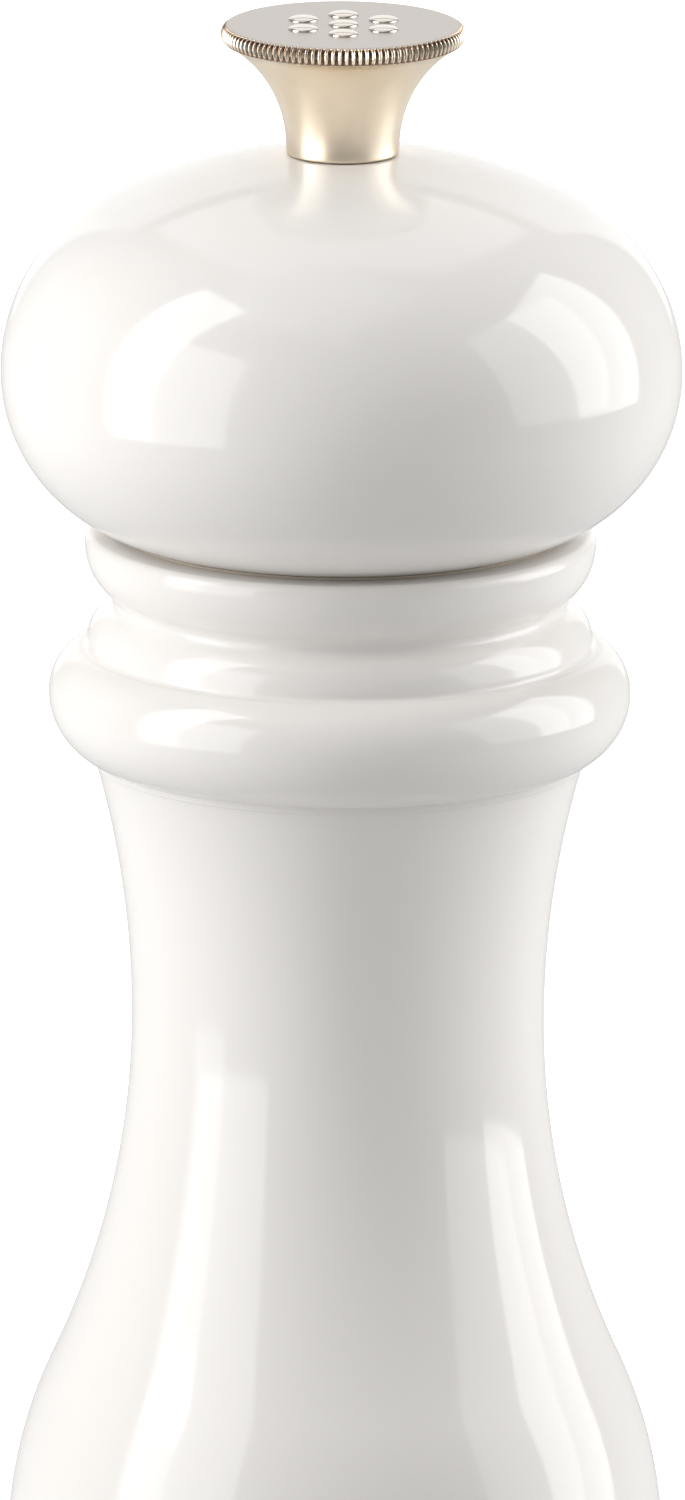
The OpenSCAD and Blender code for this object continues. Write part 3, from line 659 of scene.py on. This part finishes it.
def drive_shaft():
    corner_r, chamfer, stud_z = HALF_SQUARE * 2 ** 0.5, 0.25 * MM, shaft_low.z
    thread_z = np.arange(shaft_high.z - TIP_H, SQUARE_TOP, -PITCH / 12)
    square_z = np.linspace(SQUARE_TOP - 2 * chamfer, SQUARE_LOW, 12)
    points, faces = turn(np.vstack([
        [[0, shaft_high.z], [THREAD_R - TIP_H, shaft_high.z]],
        np.column_stack([THREAD_R + 0 * thread_z, thread_z]),
        [[THREAD_R, SQUARE_TOP + 0.01 * MM], [THREAD_R, SQUARE_TOP], [corner_r - 4 * chamfer, SQUARE_TOP]],
        np.column_stack([corner_r + 0 * square_z, square_z]),
        [[STUD_R, SQUARE_LOW - 0.001 * MM], [STUD_R, stud_z + chamfer]],
        [[STUD_R - chamfer, stud_z], [0, stud_z]],
    ]), 96, shaft_section)
    return build("drive_shaft", points, faces, 30)


SHAFT = drive_shaft()
dress(SHAFT, ALUMINIUM, "spindle", ["shaft"])


# %% Spring
def coil_spring(turns=4, rings=260, sides=16):
    """A helix of wire: a centre that climbs evenly as it turns, and round it a circle of the wire's
    radius, in the plane of the axis, that narrows over the first and last rings as a ground end does."""
    low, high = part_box("spring")
    wire = 0.45 * MM
    mean = high.x - wire
    s, k = np.linspace(0, 1, rings)[:, None], np.linspace(0, 2 * math.pi, sides, endpoint=False)[None]
    a, centre_z = 2 * math.pi * turns * s, low.z + wire + (high.z - low.z - 2 * wire) * s
    size = wire * np.sqrt(1 - 0.9 * np.clip(1 - np.minimum(s, 1 - s) * rings / 3, 0, 1) ** 2)
    r = mean + size * np.cos(k)
    points = np.stack([r * np.cos(a), r * np.sin(a), centre_z + size * np.sin(k)], -1).reshape(-1, 3)
    return build("coil_spring", points, grid_faces(rings, sides, False) + [
        list(range(sides)), list(range(len(points) - 1, len(points) - 1 - sides, -1))])


SPRING = coil_spring()
dress(SPRING, WIRE, None, ["spring"])
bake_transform(SPRING)

# %% [markdown]
# ## Finishes for the pieces that keep their CAD shape
# The washers, screws, burrs, housing and hopper are already exact in the frame. They stay as they
# are, and only get a finish.

# %% Dress the carried-over pieces
KEPT = {
    "knob_insert": BRASS, "knob_washer": NYLON, "head_spigot": NYLON, "top_bush": BRASS,
    "drive_plate": STEEL, "drive_plate_screws": STEEL, "hopper": CLEAR,
    "mill_housing": BLACK, "housing_screws": STEEL, "shaft_bridge": STEEL, "outer_burr": CERAMIC,
    "burr_clip": STEEL, "inner_burr": CERAMIC, "burr_carrier": BLACK, "carrier_washer": STEEL,
    "shaft_nut": STEEL, "spring_washer": STEEL,
}
for name, material in KEPT.items():
    dress(NODES[name], material)
print("dressed", len(KEPT), "pieces from the frame")

# %% [markdown]
# ## Table and light
# White gloss on a white ground only shows its form if the light is uneven. A near softbox on the
# left gives the gloss one crisp window, broad panels left and right light the flanks, and the room
# in front stays dim, so the middle of every curve falls into a soft grey.


# %% Table
def studio_floor():
    """A white table lit from below. Its glow stays off the mill: only the camera meets the table."""
    angle = np.linspace(0, 2 * math.pi, 64, endpoint=False)
    rim = np.column_stack([8 * np.cos(angle), 8 * np.sin(angle), 0 * angle - 0.2 * MM])
    made = build("studio_floor", rim, [list(range(64))])
    dress(made, Recipe("floor_white").finish(
        base_color=(0.8, 0.8, 0.8), roughness=0.9, emission_color=(1.0, 1.0, 1.0), emission_strength=1.1,
    ))
    made.visible_diffuse = made.visible_glossy = made.visible_shadow = False


studio_floor()


# %% Lights
def direction(azimuth, elevation):
    """The unit vector that points out to an azimuth and elevation; azimuth 0 is behind the camera."""
    a, e = math.radians(azimuth), math.radians(elevation)
    return Vector((math.sin(a) * math.cos(e), -math.cos(a) * math.cos(e), math.sin(e)))


def softbox(name, azimuth, elevation, distance, size, watts, aim=0.14):
    """A panel of light out along a direction, facing the axis at height aim."""
    light = bpy.data.lights.new(name, "AREA")
    light.shape, light.size, light.size_y, light.energy = "RECTANGLE", size[0], size[1], watts
    lamp = bpy.data.objects.new(name, light)
    bpy.context.scene.collection.objects.link(lamp)
    away = direction(azimuth, elevation)
    lamp.location = away * distance + Vector((0, 0, aim))
    lamp.rotation_euler = away.to_track_quat("Z", "Y").to_euler()
    lamp.visible_camera = False
    print(name, [round(c, 3) for c in lamp.location], watts, "W")


# name: azimuth, elevation, distance in metres, width and height in metres, watts
SOFTBOXES = {
    "window_left": (-60, 12, 0.5, (0.42, 0.5), 1.35),
    "bank_left_high": (-76, 40, 1.1, (0.4, 0.9), 4),
    "bank_left_low": (-76, 5, 1.1, (0.4, 0.9), 1.5),
    "bank_right": (102, 20, 1.1, (0.7, 1.2), 6.8),
    "panel_right": (80, 20, 1.1, (0.9, 1.1), 4.2),
    "panel_back": (180, 60, 1.1, (0.8, 0.8), 1.3),
    "panel_back_low": (180, 15, 1.1, (0.9, 0.8), 1.2),
    "panel_top": (-30, 75, 1.1, (0.8, 0.8), 1.15),
}
for name, values in SOFTBOXES.items():
    softbox(name, *values)


# %% Room
def room_light(base=0.22, back=0.36, low_sides=0.9):
    """The room's radiance by direction: a base, plus back times y behind the mill, plus low_sides times
    |x| below the horizon. The camera itself sees plain white."""
    world = bpy.data.worlds.new("room")
    bpy.context.scene.world = world
    world.use_nodes = True
    room = Tree(world.node_tree)
    x, y, z = (room.node("SeparateXYZ", {}, {0: room.node("TexCoord", output="Generated")}, output=axis)
               for axis in "XYZ")
    below = (0.0 - z).between(-0.05, 0.5)
    radiance = base + back * y.math("MAXIMUM", y, 0) + low_sides * below * x.math("ABSOLUTE", x)
    lit = room.node("Background", {}, {"Color": (1.0, 1.0, 1.0), "Strength": radiance})
    seen = room.node("Background", {}, {"Color": (1.0, 1.0, 1.0), "Strength": 1.0})
    mixed = room.node("MixShader", {}, {0: room.node("LightPath", output="Is Camera Ray"), 1: lit, 2: seen})
    room.plug(room.tree.nodes["World Output"].inputs["Surface"], mixed)
    print("room light: base", base, "back", back, "low sides", low_sides)


room_light()
bpy.context.scene.view_settings.view_transform = "Standard"
bpy.context.scene.view_settings.gamma = 0.93

# %% [markdown]
# ## The camera
# A product shot is made from far off with a long lens, so the upright sides stay nearly parallel. The
# camera stands a little above the mill and looks down on it by about 13 degrees, and leans a third of
# a degree, as a hand-levelled tripod does.

# %% Camera
DISTANCE, TILT, FRAME_H, ROLL = 2.8, 13.3, 0.1433, 0.32
LOOK_X, LOOK_Z = 0.0003, 0.1388
lens = bpy.data.cameras.new("camera")
lens.sensor_fit, lens.sensor_height, lens.sensor_width = "VERTICAL", 36, 36
lens.lens = 36 * DISTANCE / FRAME_H
lens.clip_start, lens.clip_end = 0.1, 50
camera = bpy.data.objects.new("camera", lens)
bpy.context.scene.collection.objects.link(camera)
out = direction(0, TILT)
camera.location = out * DISTANCE + Vector((LOOK_X, 0, LOOK_Z))
camera.rotation_euler = (out.to_track_quat("Z", "Y") @ Quaternion((0, 0, 1), math.radians(ROLL))).to_euler()
bpy.context.scene.camera = camera
print("camera", [round(c, 3) for c in camera.location], "lens", round(lens.lens), "mm")
